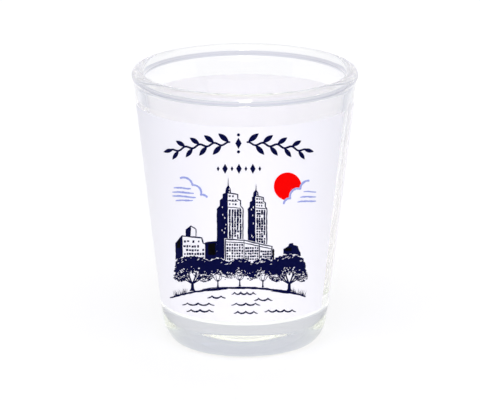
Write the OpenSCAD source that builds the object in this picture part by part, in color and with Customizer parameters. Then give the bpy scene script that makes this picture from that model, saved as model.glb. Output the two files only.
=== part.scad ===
// Souvenir shot glass: a pressed clear tumbler with a thick base, a white print ground
// wrapped round its wall, and a city skyline printed on that ground in navy, black,
// light blue and red ink. Every ink lies in one layer, side by side, on the white.
// Millimetres, +Z up. The origin is the centre of the foot, and the print faces -Y.

/* [Glass] */
// Height from the foot to the crest of the rim
glass_h = 60; // [50:0.5:75]
// Largest radius of the glass, at the middle of the rim bead
rim_r = 24.1; // [20:0.1:30]
// Diameter of the round bead that the fire-polished rim forms
bead_d = 2.7; // [2.2:0.1:3.2]
// How far the bead stands out from the straight outer wall
bead_proud = 0.25; // [0.1:0.05:0.5]
// Radius that the outer wall would reach at the foot if its heel were not rounded
foot_r = 17.1; // [14:0.05:20.5]
// Height at which the wall starts to turn in to the heel
heel_h = 5.7; // [4:0.1:7]
// Radius of the heel's main curve
heel_r = 9.2; // [8:0.1:11]
// Radius of the tighter curve where the heel meets the foot
foot_round_r = 3.3; // [1.5:0.1:4]
// Width of the flat ring that the glass stands on
foot_ring_w = 2.5; // [1:0.1:4]
// Depth of the shallow hollow inside that ring
punt_depth = 1; // [0.5:0.1:1.5]
// Wall thickness under the bead
rim_wall_t = 2.1; // [1.6:0.1:2.6]
// Wall thickness level with the inside floor
floor_wall_t = 3; // [2.2:0.1:4]
// Thickness of the solid base, from the foot to the inside floor
base_t = 10.5; // [8:0.5:14]
// Radius of the rounded corner between the inside floor and wall
floor_round_r = 4; // [2:0.1:5]

/* [Print ground] */
// Clear glass left between the white ground and the rim's crest
ground_rim_gap = 6.9; // [4:0.1:9]
// Clear glass left between the white ground and the foot
ground_foot_gap = 9.2; // [7.5:0.1:11]
// Thickness of the white ground
ground_t = 0.06; // [0.05:0.01:0.1]
// How far round the glass the ground reaches from the middle of the front, towards +X
ground_right_edge = 64; // [60:1:80]
// Angle of clear glass left between the ground's two ends
ground_gap_angle = 16; // [10:1:60]

/* [Artwork] */
// Thickness of the ink on the ground
ink_t = 0.04; // [0.03:0.01:0.08]
// Ground left clear above the artwork, in the artwork's own plane
art_top_margin = 1.1; // [0.8:0.1:4]
// Ground left clear below the artwork, in the artwork's own plane
art_foot_margin = 1.4; // [1.2:0.1:4]
// Downward angle at which the artwork is laid out to read flat
art_view_angle = 16; // [0:1:25]
// Sideways place of the artwork's centre line
art_shift = -0.9; // [-2:0.1:2]

/* [Hidden] */

navy = "midnightblue";
sky_blue = "lightsteelblue";

// ---- the glass ----

bead_c = [rim_r - bead_d / 2, glass_h - bead_d / 2];
wall_slope = (rim_r - bead_proud - foot_r) / bead_c.y;
wall_angle = atan(wall_slope);
wall_out = [cos(wall_angle), -sin(wall_angle)];

// Outer wall radius at height z
function wall_r(z) = foot_r + wall_slope * z;

bore_top_r = wall_r(bead_c.y) - rim_wall_t;
bore_floor_r = wall_r(base_t) - floor_wall_t;
bore_slope = (bore_top_r - bore_floor_r) / (bead_c.y - base_t);
bore_angle = atan(bore_slope);
bore_overshoot = 1;

// Inner wall radius at height z
function bore_r(z) = bore_floor_r + bore_slope * (z - base_t);

// The heel: a main curve that leaves the wall at heel_h, then a tighter one onto the foot
heel_start = [wall_r(heel_h), heel_h];
heel_c = heel_start - heel_r * wall_out;
foot_round_c = [
    heel_c.x + sqrt((heel_r - foot_round_r) ^ 2 - (heel_c.y - foot_round_r) ^ 2),
    foot_round_r
];
heel_out = (foot_round_c - heel_c) / norm(foot_round_c - heel_c);
heel_end = heel_c + heel_r * heel_out;

punt_r = foot_round_c.x - foot_ring_w;
punt_sphere_r = (punt_r ^ 2 + punt_depth ^ 2) / (2 * punt_depth);

// The inside corner's round touches the floor and the leaning bore wall
floor_c = [
    bore_floor_r + floor_round_r * (tan(bore_angle) - 1 / cos(bore_angle)),
    base_t + floor_round_r
];
floor_touch = floor_c + floor_round_r * [cos(bore_angle), -sin(bore_angle)];

module outer_profile() {
    polygon([
        [0, 0], [foot_round_c.x, 0], foot_round_c, heel_c, heel_start,
        [wall_r(bead_c.y), bead_c.y], [0, bead_c.y]
    ]);
    translate(foot_round_c) circle(foot_round_r, $fn = 96);
    intersection() {
        translate(heel_c) circle(heel_r, $fn = 180);
        polygon([heel_c, heel_end, [heel_start.x + 1, heel_end.y], heel_start]);
    }
}

module bore_profile() {
    polygon([
        [0, base_t], [floor_c.x, base_t], floor_c, floor_touch,
        [bore_r(bead_c.y), bead_c.y], [bore_r(bead_c.y), bead_c.y + bore_overshoot],
        [0, bead_c.y + bore_overshoot]
    ]);
    translate(floor_c) circle(floor_round_r, $fn = 96);
}

module glass_tumbler() {
    color("azure", 0.4) rotate_extrude($fn = 180) {
        difference() {
            outer_profile();
            bore_profile();
            translate([0, punt_depth - punt_sphere_r]) circle(punt_sphere_r, $fn = 720);
        }
        translate(bead_c) circle(d = bead_d, $fn = 64);
    }
}

// ---- the layers on the wall ----

ground_low = ground_foot_gap;
ground_high = glass_h - ground_rim_gap;
front = -90;
ground_start = front + ground_right_edge + ground_gap_angle;

// A layer on the outer wall from radius offset t0 to t1, between heights z0 and z1
module wall_layer(t0, t1, z0, z1, start, sweep) {
    rotate_extrude(angle = sweep, start = start, $fn = 360) polygon([
        [wall_r(z0) + t0, z0], [wall_r(z0) + t1, z0],
        [wall_r(z1) + t1, z1], [wall_r(z1) + t0, z1]
    ]);
}

module white_print_ground() {
    color("white")
        wall_layer(0, ground_t, ground_low, ground_high, ground_start, 360 - ground_gap_angle);
}

// The artwork is drawn about [0, 0] inside these limits, then scaled to the ground.
ART_TOP = 13.5;
ART_FOOT = -24.6;
ART_HALF_W = 16.4;

ground_mid = (ground_low + ground_high) / 2;
view_sin = sin(art_view_angle);
view_cos = cos(art_view_angle);
// Where the ground's upper and lower edges and its right end lie in the artwork's plane
plane_top = (ground_high - ground_mid) * view_cos - wall_r(ground_high) * view_sin;
plane_foot = (ground_low - ground_mid) * view_cos - wall_r(ground_low) * view_sin;
plane_side = wall_r(ground_mid) * sin(ground_right_edge) - art_shift;
top_room = plane_top - art_top_margin;
foot_room = plane_foot + art_foot_margin;
art_scale = min(
    (top_room - foot_room) / (ART_TOP - ART_FOOT),
    plane_side / ART_HALF_W
);
art_lift = top_room - ART_TOP * art_scale;

// Presses a flat drawing onto the front of the white ground as a layer of ink
module ink() {
    intersection() {
        wall_layer(ground_t, ground_t + ink_t, ground_low, ground_high, 180, 180);
        translate([0, 0, ground_mid]) rotate([90 - art_view_angle, 0, 0])
            linear_extrude(2 * rim_r) translate([art_shift, art_lift]) scale(art_scale)
                children();
    }
}

// ---- drawing tools ----

function arc(c, r, a0, a1, n = 16) =
    [for (i = [0:n]) let (a = a0 + (a1 - a0) * i / n) c + r * [cos(a), sin(a)]];

function unit(v) = v / norm(v);
function heading(p, i) = unit(p[min(i + 1, len(p) - 1)] - p[max(i - 1, 0)]);
function side(p, i, w) = let (h = heading(p, i)) [-h.y, h.x] * w / 2;
// Line width at point i, full in the middle and thinned to the share end at both ends
function pen(p, i, w, end) = w * (end + (1 - end) * sin(180 * i / (len(p) - 1)));

// A pen stroke along a smooth run of points
module stroke(p, w, end = 1) {
    polygon(concat(
        [for (i = [0:len(p) - 1]) p[i] + side(p, i, pen(p, i, w, end))],
        [for (i = [len(p) - 1:-1:0]) p[i] - side(p, i, pen(p, i, w, end))]
    ));
}

// Ruled lines with square corners through a run of points
module ruled(p, w) {
    for (i = [0:len(p) - 2]) {
        d = p[i + 1] - p[i];
        translate(p[i]) rotate(atan2(d.y, d.x)) translate([-w / 2, -w / 2])
            square([norm(d) + w, w]);
    }
}

// A repeatable scatter between -1 and 1 for number k
function jitter(k) = sin(k * 197.3 + 41) * cos(k * 83.7);

module both_sides() {
    children();
    mirror([1, 0]) children();
}

// A leaf from the crossing of two circles, lying along its own X
module leaf(len, bulge) {
    r = (len ^ 2 / 4 + bulge ^ 2) / (2 * bulge);
    intersection() {
        translate([len / 2, bulge - r]) circle(r, $fn = 72);
        translate([len / 2, r - bulge]) circle(r, $fn = 72);
    }
}

module lozenge(w, h) {
    polygon([[-w / 2, 0], [0, -h / 2], [w / 2, 0], [0, h / 2]]);
}

// ---- the pair of leafy sprigs above the skyline ----

sprig_arch_r = 70;
sprig_mid = 11.25;
sprig_shift = -0.45;
sprig_w = 0.42;
sprig_start = 1.7;
sprig_end = 14.1;
sprig_wave = 0.3;
sprig_leaves = 8;
first_leaf = 2;
leaf_pitch = 1.52;
leaf_turn = 42;
leaf_len = 2.8;
leaf_bulge = 0.54;
// Share of its size that a leaf keeps at the sprig's outer end
leaf_taper = 0.78;

// A place at distance s along the arch, h above it, and the arch's slope there
function on_arch(s, h) = let (a = arch_turn(s))
    [(sprig_arch_r + h) * sin(a), sprig_mid - sprig_arch_r + (sprig_arch_r + h) * cos(a)];
function arch_turn(s) = 180 * s / (PI * sprig_arch_r);

// The stem sways about the arch, towards each leaf as it leaves
function sway(s) = sprig_wave * cos(180 * (s - first_leaf) / leaf_pitch);
stem = [for (i = [0:60]) let (s = sprig_start + (sprig_end - sprig_start) * i / 60)
    on_arch(s, sway(s))];

module leaf_at(s, turn, size) {
    translate(on_arch(s, sway(s))) rotate(turn - arch_turn(s))
        leaf(leaf_len * size, leaf_bulge * size);
}

module sprig() {
    stroke(stem, sprig_w, 0.8);
    for (i = [0:sprig_leaves - 1]) {
        size = 1 - (1 - leaf_taper) * i / sprig_leaves;
        leaf_at(first_leaf + leaf_pitch * i, i % 2 == 0 ? leaf_turn : -leaf_turn, size);
    }
    leaf_at(sprig_end - 0.4, 0, leaf_taper);
}

module sprig_print() {
    color(navy) ink() translate([sprig_shift, 0]) {
        both_sides() sprig();
        translate([0, sprig_mid]) lozenge(1.3, 2.3);
        for (h = [-1.75, 1.75]) translate([0, sprig_mid + h]) circle(0.32, $fn = 24);
    }
}

// ---- the row of lozenges under it ----

divider_h = 6;
divider_shift = -0.35;
divider_pitch = 1.45;
divider_reach = 3;

module divider_print() {
    color(navy) ink() translate([divider_shift, divider_h]) {
        for (i = [-divider_reach:divider_reach]) {
            share = i % 2 == 0 ? 1 : 0.5;
            translate([i * divider_pitch, 0]) lozenge(1.15 * share, 2.1 * share);
        }
    }
}

// ---- sun and clouds ----

sun_c = [9.85, 2.35];
sun_r = 2.9;
cloud_w = 0.42;
cloud_line_w = 0.35;
ink_gap = 0.06;

// Bumps of a cloud's edge, each as [centre, radius, first angle, last angle]
right_bumps = [
    [[14.3, 1.85], 1.75, 85, 186],
    [[12, 0.3], 1.62, 66, 202],
    [[10.25, -1.35], 1.2, 76, 180]
];
left_bumps = [
    [[-12, 2.3], 1.95, 112, 6],
    [[-9.9, 1], 1.65, 102, -20],
    [[-8.1, -0.75], 1.38, 106, 35]
];

module cloud_edge(bumps, w) {
    for (b = bumps) stroke(arc(b[0], b[1], b[2], b[3]), w, 0.85);
}

// A nearly level stroke of the pen
module streak(x0, x1, h, drop, w) {
    stroke([for (i = [0:8]) let (t = i / 8)
        [x0 + (x1 - x0) * t, h - drop * t + 0.07 * sin(300 * t)]], w, 0.55);
}

// The part of the sun that the cloud hides
module cloud_cover() {
    for (b = right_bumps) translate(b[0]) circle(b[1] + cloud_w / 2 + ink_gap, $fn = 72);
    polygon([[10.25, -1.35], [10.9, 0], [12, 1.5], [14.3, 3], [16, -3], [9.6, -3]]);
}

module red_sun_print() {
    color("red") ink() difference() {
        translate(sun_c) circle(sun_r, $fn = 96);
        cloud_cover();
    }
}

module left_cloud_print() {
    color(sky_blue) ink() {
        cloud_edge(left_bumps, cloud_w);
        streak(-14.1, -10.4, 2.1, 0.15, cloud_line_w);
        streak(-14.4, -9.8, 1.2, 0.2, cloud_line_w);
        streak(-14.4, -9.4, 0.4, 0.3, cloud_line_w);
        streak(-13.7, -10, -0.6, -0.1, cloud_line_w);
    }
}

module right_cloud_print() {
    color(sky_blue) ink() {
        cloud_edge(right_bumps, cloud_w);
        streak(13.2, 15.9, 1.25, -0.05, cloud_line_w * 0.75);
        streak(12.5, 15.9, 0.1, -0.2, cloud_line_w * 0.85);
        streak(11.9, 15.9, -0.9, -0.3, cloud_line_w * 0.95);
    }
}

// ---- the tree line, which the buildings stand behind ----

canopy_x = [-14.1, 14];
canopy_slant = 0.5;
canopy_top = -14;
canopy_foot = -16.6;
leaf_bumps = 58;
halo = 0.32;
street_h = -14;
// Trees, each as [middle, half width of the trunk, rise of the crown, its reach]
trees = [
    [-10.2, 0.34, 1.6, 4.6], [-4.8, 0.13, 1.05, 2.7], [-0.2, 0.13, 1.05, 2.9],
    [4.7, 0.13, 1.05, 2.9], [10.3, 0.34, 1.9, 4.8]
];
// The leaves part over a trunk: how high, and how wide for each unit of the crown's reach
part_rise = 1;
part_w = 0.4;

// Height of the canopy's top edge, which rises over each tree
function crown(x) = max([for (t = trees) t[2] * cos(min(90, 90 * abs(x - t[0]) / t[3]))]);
// Rise of its lower edge over each trunk
function parting(x) = max([for (t = trees)
    part_rise * exp(-((x - t[0]) / (part_w * t[3])) ^ 2)]);
// Places along the tree line, whose ends slant in by canopy_slant at the top
function canopy_step(i, inset) = canopy_x[0] + inset
    + (canopy_x[1] - canopy_x[0] - 2 * inset) * i / leaf_bumps;

// The tree line, raised by lift at its upper edge
module canopy_outline(lift = 0) {
    polygon(concat(
        [for (i = [0:leaf_bumps]) let (x = canopy_step(i, canopy_slant))
            [x, canopy_top + lift + crown(x) + (i % 2 == 0 ? -0.13 : 0.13) + 0.1 * jitter(i)]],
        [for (i = [leaf_bumps:-1:0]) let (x = canopy_step(i, 0))
            [x, canopy_foot + parting(x) + (i % 2 == 0 ? -0.4 : 0.3) + 0.4 * jitter(i + 50)]]
    ));
}

// What the buildings leave bare: the tree line with a narrow halo over it
module behind_trees() {
    difference() {
        children();
        canopy_outline(halo);
        translate([canopy_x[0] - 1, street_h - 1]) square([canopy_x[1] - canopy_x[0] + 2, 1]);
    }
}

// ---- buildings ----

rule_w = 0.22;

// Rows and columns of small windows inside a box
module windows(x0, x1, y0, y1, cols, rows, w, h, seed) {
    for (c = [0:cols - 1], r = [0:rows - 1])
        translate([
            x0 + (x1 - x0) * (c + 0.5) / cols + 0.05 * jitter(seed + c * 7 + r * 3),
            y0 + (y1 - y0) * (r + 0.5) / rows + 0.06 * jitter(seed + c * 5 + r * 11)
        ]) square([w * (1 + 0.25 * jitter(seed + c + r)), h], center = true);
}

// A tower in three tiers with a crown and a needle: its left side is in shade and its
// right side is lit. It stands between x0 and x1, and its corner is at split.
module tower(x0, split, x1, foot, top, needle, cols, rows, seed) {
    rise = (needle - top) * 0.2;
    tier = (split - x0) * 0.26;
    mid = split + 0.1;
    polygon([
        [x0, street_h], [x0, top - rise], [x0 + tier, top - rise * 0.4],
        [x0 + tier, top + rise * 0.6], [x0 + 2 * tier, top + rise],
        [x0 + 2 * tier, top + rise * 1.8], [split, top + rise * 2.1], [split, street_h]
    ]);
    ruled([
        [split, top + rise * 2], [x1 - 2 * tier, top + rise * 1.7],
        [x1 - 2 * tier, top + rise * 0.8], [x1 - tier, top + rise * 0.5],
        [x1 - tier, top - rise * 0.5], [x1 - rule_w / 2, top - rise],
        [x1 - rule_w / 2, foot]
    ], rule_w);
    windows(split + 0.15, x1 - 0.4, foot + 0.2, top - rise - 0.2, cols, rows, 0.27, 0.42, seed);
    windows(split + 0.1, x1 - 2 * tier - 0.1, top - rise * 0.4, top + rise * 1.6,
        2, 3, 0.3, 0.3, seed + 9);
    polygon([
        [mid - 0.55, top + rise * 1.9], [mid - 0.5, top + rise * 2.8],
        [mid - 0.12, top + rise * 3.4], [mid, needle], [mid + 0.12, top + rise * 3.4],
        [mid + 0.5, top + rise * 2.8], [mid + 0.55, top + rise * 1.9]
    ]);
}

// A low building in front of the towers, lit all over
podium = [[-3.2, -8.7], [0.7, -8.9], [4, -9.7], [6.6, -10.2]];

module podium_face(grow) {
    polygon([
        [podium[0].x - grow, street_h], podium[0] + [-grow, grow], podium[1] + [0, grow],
        podium[2] + [0, grow], podium[3] + [grow, grow], [podium[3].x + grow, street_h]
    ]);
}

module left_tower_print() {
    color(navy) ink() behind_trees() difference() {
        tower(-5, -2.7, 0.6, podium[1].y, -1.2, 4.3, 5, 13, 3);
        podium_face(halo / 2);
    }
}

module right_tower_print() {
    color(navy) ink() behind_trees() difference() {
        tower(1.5, 3.1, 5.6, podium[3].y, -1.5, 3, 4, 14, 31);
        podium_face(halo / 2);
    }
}

module podium_print() {
    color(navy) ink() behind_trees() {
        ruled([
            [podium[0].x, street_h], podium[0], podium[1], podium[2], podium[3],
            [podium[3].x, street_h]
        ], rule_w);
        windows(podium[0].x + 0.2, podium[3].x - 0.2, street_h + 0.4, podium[3].y - 0.1,
            17, 6, 0.3, 0.36, 57);
        windows(podium[0].x + 0.2, podium[2].x - 0.6, podium[3].y + 0.1, podium[1].y - 0.2,
            12, 1, 0.3, 0.4, 91);
    }
}

// Parts of the low blocks that are printed solid black instead of navy
black_patches = [
    [[-13.5, -10.6], [-13.5, -9.4], [-12.7, -8.6], [-12.7, -10.6]],
    [[-6.85, -12], [-6.85, -9.6], [-5.3, -9.5], [-5.3, -12]],
    [[6.8, -13], [6.8, -10.6], [7.1, -10.9], [7.1, -13]],
    [[9.3, -11.2], [9.3, -10.6], [10.8, -10.4], [10.8, -11.2]]
];

module black_shapes() {
    for (p = black_patches) polygon(p);
}

module left_block_print() {
    color(navy) ink() behind_trees() difference() {
        union() {
            // wall with windows
            ruled([[-12.4, -8], [-8.2, -8.4], [-7.9, -9.5], [-7.4, -9.7]], rule_w);
            windows(-12, -7.7, street_h + 0.5, -9.7, 8, 4, 0.32, 0.4, 83);
            windows(-11.9, -8.6, -9.6, -8.6, 6, 1, 0.3, 0.4, 12);
            // its side in shade, and the low block between it and the towers
            polygon([[-13.8, street_h], [-13.8, -9.5], [-12.6, -8], [-12.3, -8], [-12.3, street_h]]);
            polygon([[-7.5, street_h], [-7.5, -9.3], [-5.1, -9.1], [-5.1, street_h]]);
            // hut on the roof
            ruled([[-11.5, -8.1], [-11.5, -6.7], [-10.5, -5.9], [-9.4, -6.6], [-9.4, -8.3]], rule_w);
            polygon([[-11.5, -8.1], [-11.5, -6.7], [-10.7, -6.1], [-10.7, -8.1]]);
        }
        black_shapes();
    }
}

module right_block_print() {
    color(navy) ink() behind_trees() difference() {
        polygon([
            [9, street_h], [9, -10.8], [10.1, -10.1], [10.2, -9.7], [10.6, -9.5], [11.1, -9.5],
            [11.1, -9.9], [12.1, -10.1], [12.3, -11.1], [12.7, -11.6], [12.7, street_h]
        ]);
        black_shapes();
    }
}

module black_shadow_print() {
    color("black") ink() behind_trees() black_shapes();
}

// ---- park ----

module tree_canopy_print() {
    color(navy) ink() canopy_outline();
}

// Height of the shore, which is a low arch
function shore_h(x) = -18.95 - 2.1 * (x / 14.5) ^ 2;

module tree_trunk_print() {
    color(navy) ink() difference() {
        for (t = trees) {
            w = t[1];
            foot = shore_h(t[0]) + 0.35;
            fork = foot + (w > 0.2 ? 1.7 : 1.2);
            // the boughs end inside the leaves
            tip = canopy_foot + part_rise + 0.5;
            polygon([
                [t[0] - w * 1.7, foot], [t[0] - w, foot + 0.5], [t[0] - w * 0.8, fork],
                [t[0] - w * 4.4, tip], [t[0] - w * 2.6, tip],
                [t[0] - w * 0.6, fork + 0.8], [t[0] - w * 0.4, tip + 0.3],
                [t[0] + w * 0.4, tip + 0.3], [t[0] + w * 0.6, fork + 0.8],
                [t[0] + w * 2.6, tip], [t[0] + w * 4.4, tip],
                [t[0] + w * 0.8, fork], [t[0] + w, foot + 0.5], [t[0] + w * 1.7, foot]
            ]);
        }
        canopy_outline();
    }
}

// Blades of grass, each as [foot of the blade, lean]
blades = [for (i = [0:6]) [-13.6 + 0.32 * i, 0.35 * jitter(i + 5)]];

module shoreline_print() {
    color(navy) ink() {
        stroke([for (i = [0:28]) let (x = -15.1 + 28.9 * i / 28)
            [x, shore_h(x) + 0.06 * jitter(i)]], 0.4, 0.7);
        both_sides() for (b = blades) polygon([
            [b[0] - 0.1, shore_h(b[0])], [b[0] + b[1], shore_h(b[0]) + 1.1 + 0.2 * b[1]],
            [b[0] + 0.1, shore_h(b[0])]
        ]);
    }
}

// Ripples, each as [middle, height, length, crests]
ripples = [
    [0.7, -20.35, 5.2, 4], [-5.1, -21.15, 3.9, 2], [4.8, -21.65, 3.9, 2],
    [-9, -22.7, 6.9, 3], [1.1, -22.65, 6.1, 3],
    [-8.6, -24.1, 5.8, 3], [1.1, -24.4, 5.1, 3], [8.4, -24.1, 6.7, 4]
];

module ripple(length, crests) {
    n = crests * 8;
    stroke([for (i = [0:n]) let (t = i / n)
        [length * (t - 0.5), 0.4 * (1 - abs(sin(180 * (t * crests + 0.5))) ^ 0.7)]],
        0.24, 0.5);
}

module lake_ripple_print() {
    color(navy) ink()
        for (r = ripples) translate([r[0], r[1]]) ripple(r[2], r[3]);
}

glass_tumbler();
white_print_ground();
sprig_print();
divider_print();
red_sun_print();
left_cloud_print();
right_cloud_print();
left_tower_print();
right_tower_print();
podium_print();
left_block_print();
right_block_print();
black_shadow_print();
tree_canopy_print();
tree_trunk_print();
shoreline_print();
lake_ripple_print();
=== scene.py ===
"""A souvenir shot glass: clear pressed glass with a fired-on white ground and a skyline print.

The glass and the ground are lathed again from the CAD's sizes, finely enough to refract well.
The print is drawn flat, in millimetres, then pressed on to the glass's wall along the line of
sight that it was laid out for. Metres everywhere else, +Z up, and the print faces -Y.
"""

import math
import random

import bpy
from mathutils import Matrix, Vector
from mathutils.geometry import delaunay_2d_cdt


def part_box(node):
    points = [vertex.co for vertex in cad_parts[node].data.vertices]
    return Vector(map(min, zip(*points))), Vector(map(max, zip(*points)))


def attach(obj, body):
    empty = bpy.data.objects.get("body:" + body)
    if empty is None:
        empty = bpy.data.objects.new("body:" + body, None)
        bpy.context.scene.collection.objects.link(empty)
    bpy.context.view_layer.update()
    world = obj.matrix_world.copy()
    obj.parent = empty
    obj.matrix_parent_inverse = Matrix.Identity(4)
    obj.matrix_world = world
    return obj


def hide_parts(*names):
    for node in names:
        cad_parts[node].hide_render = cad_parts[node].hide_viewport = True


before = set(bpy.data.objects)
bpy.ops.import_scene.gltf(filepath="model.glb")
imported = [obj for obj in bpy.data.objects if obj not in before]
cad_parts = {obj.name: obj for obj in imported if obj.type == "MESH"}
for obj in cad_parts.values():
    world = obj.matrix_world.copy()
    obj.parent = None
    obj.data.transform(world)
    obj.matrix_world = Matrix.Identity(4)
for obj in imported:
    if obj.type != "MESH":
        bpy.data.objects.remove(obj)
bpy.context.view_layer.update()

MM = 0.001

# ---------------------------------------------------------------- sizes, in millimetres

glass_low, glass_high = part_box("glass_tumbler")
ground_box_low, ground_box_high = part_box("white_print_ground")
GLASS_H = glass_high.z / MM
RIM_R = (glass_high.x - glass_low.x) / 2 / MM
GROUND_LOW = ground_box_low.z / MM
GROUND_HIGH = ground_box_high.z / MM

BEAD_D = 2.7
BEAD_PROUD = 0.25
FOOT_R = 17.1
HEEL_H = 5.7
HEEL_R = 9.2
FOOT_ROUND_R = 3.3
FOOT_RING_W = 2.5
PUNT_DEPTH = 1.0
RIM_WALL_T = 2.1
FLOOR_WALL_T = 3.0
BASE_T = 10.5
FLOOR_ROUND_R = 4.0

GROUND_T = 0.06
GROUND_SINK = 0.015
GROUND_RIGHT_EDGE = 64
GROUND_GAP = 16
INK_T = 0.04

ART_TOP_MARGIN = 1.1
ART_VIEW_ANGLE = 16
ART_SHIFT = -0.9
ART_TOP = 13.5

# How the lathed outline is drawn: lengths of its straight steps, and where it enters the bead
STEP = 0.8
FOOT_STEP = 0.5
BEAD_DROP_OUT = 0.95
BEAD_DROP_IN = 1.1
BEAD_START = -42
BEAD_END = 180 - BEAD_START * 0.75

BEAD_C = (RIM_R - BEAD_D / 2, GLASS_H - BEAD_D / 2)
WALL_SLOPE = (RIM_R - BEAD_PROUD - FOOT_R) / BEAD_C[1]
WALL_ANGLE = math.atan(WALL_SLOPE)


def wall_r(z):
    """Outer wall radius at height z."""
    return FOOT_R + WALL_SLOPE * z


BORE_TOP_R = wall_r(BEAD_C[1]) - RIM_WALL_T
BORE_FLOOR_R = wall_r(BASE_T) - FLOOR_WALL_T
BORE_SLOPE = (BORE_TOP_R - BORE_FLOOR_R) / (BEAD_C[1] - BASE_T)
BORE_ANGLE = math.atan(BORE_SLOPE)


# ---------------------------------------------------------------- materials


NOISE_LOW = 0.3
NOISE_HIGH = 0.7
GLASS_IOR = 1.51
GLASS_TINT = (0.7, 0.95, 0.35)
GLASS_TINT_DENSITY = 2


def shader(name):
    """A new node material: (material, its principled node, its node tree)."""
    mat = bpy.data.materials.new(name)
    mat.use_nodes = True
    return mat, mat.node_tree.nodes["Principled BSDF"], mat.node_tree


def noise(tree, scale, detail=2.0, rough=0.5):
    """Noise in the object's own metres: scale is in features per metre."""
    coords = tree.nodes.new("ShaderNodeTexCoord")
    node = tree.nodes.new("ShaderNodeTexNoise")
    node.inputs["Scale"].default_value = scale
    node.inputs["Detail"].default_value = detail
    node.inputs["Roughness"].default_value = rough
    tree.links.new(coords.outputs["Object"], node.inputs["Vector"])
    return node.outputs["Fac"]


def spread(tree, value, low, high):
    """Maps the middle of a noise value to the range low to high."""
    node = tree.nodes.new("ShaderNodeMapRange")
    node.inputs["From Min"].default_value = NOISE_LOW
    node.inputs["From Max"].default_value = NOISE_HIGH
    node.inputs["To Min"].default_value = low
    node.inputs["To Max"].default_value = high
    tree.links.new(value, node.inputs["Value"])
    return node.outputs["Result"]


def blend_colours(tree, value, a, b):
    """Colour a where value is 0 and b where it is 1. Each is a tuple or another node's output."""
    node = tree.nodes.new("ShaderNodeMix")
    node.data_type = "RGBA"
    for colour, socket in ((a, "A"), (b, "B")):
        if isinstance(colour, tuple):
            node.inputs[socket].default_value = (*colour, 1)
        else:
            tree.links.new(colour, node.inputs[socket])
    tree.links.new(value, node.inputs["Factor"])
    return node.outputs["Result"]


def bump(tree, height, distance, strength, normal_socket):
    node = tree.nodes.new("ShaderNodeBump")
    node.inputs["Distance"].default_value = distance
    node.inputs["Strength"].default_value = strength
    tree.links.new(height, node.inputs["Height"])
    tree.links.new(node.outputs["Normal"], normal_socket)


def linear(r, g, b):
    """An sRGB colour, 0 to 255, in the renderer's linear values."""

    def one(c):
        c /= 255
        return c / 12.92 if c <= 0.04045 else ((c + 0.055) / 1.055) ** 2.4

    return one(r), one(g), one(b)


def glass_material():
    """Clear glass with a faint green tint and barely wavy faces."""
    mat, bsdf, tree = shader("clear_glass")
    bsdf.inputs["Base Color"].default_value = (1, 1, 1, 1)
    bsdf.inputs["Transmission Weight"].default_value = 1
    bsdf.inputs["IOR"].default_value = GLASS_IOR
    bsdf.inputs["Roughness"].default_value = 0
    bump(tree, noise(tree, 130, 1), 0.00006, 0.35, bsdf.inputs["Normal"])
    absorb = tree.nodes.new("ShaderNodeVolumeAbsorption")
    absorb.inputs["Color"].default_value = (*GLASS_TINT, 1)
    absorb.inputs["Density"].default_value = GLASS_TINT_DENSITY
    tree.links.new(absorb.outputs["Volume"], tree.nodes["Material Output"].inputs["Volume"])
    return mat


def ground_material():
    """White enamel: faintly lilac, glossy, and a little uneven."""
    mat, bsdf, tree = shader("white_enamel")
    cloudy = spread(tree, noise(tree, 160, 2), 0, 1)
    colour = blend_colours(tree, cloudy, (0.972, 0.96, 0.98), (0.978, 0.967, 0.984))
    tree.links.new(colour, bsdf.inputs["Base Color"])
    tree.links.new(spread(tree, noise(tree, 500, 2), 0.3, 0.34), bsdf.inputs["Roughness"])
    bsdf.inputs["Specular IOR Level"].default_value = 0.35
    bump(tree, noise(tree, 500, 2), 0.000004, 0.1, bsdf.inputs["Normal"])
    return mat


INK_GLOSS = 0.02


def ink_material(name, dark, light):
    """Screen-printed ink: its density varies a little, and its surface is faintly pebbled."""
    mat, bsdf, tree = shader(name)
    density = spread(tree, noise(tree, 1500, 3, 0.6), 0, 1)
    tree.links.new(blend_colours(tree, density, dark, light), bsdf.inputs["Base Color"])
    tree.links.new(spread(tree, noise(tree, 2500, 2), 0.38, 0.55), bsdf.inputs["Roughness"])
    bsdf.inputs["Specular IOR Level"].default_value = INK_GLOSS
    bump(tree, noise(tree, 5000, 2), 0.00001, 0.35, bsdf.inputs["Normal"])
    return mat


# The part of the floor that the camera sees, as half sizes, and how soon it turns greyer beyond. The
# grey beyond is painted shade: the floor's colour darkens where the studio light would fall off.
FLOOR_PALE = (0.072, 0.4, 1)
FLOOR_FADE = 1.5
FLOOR_PAINTED_SHADE = (0.66, 0.67, 0.72)


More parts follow.
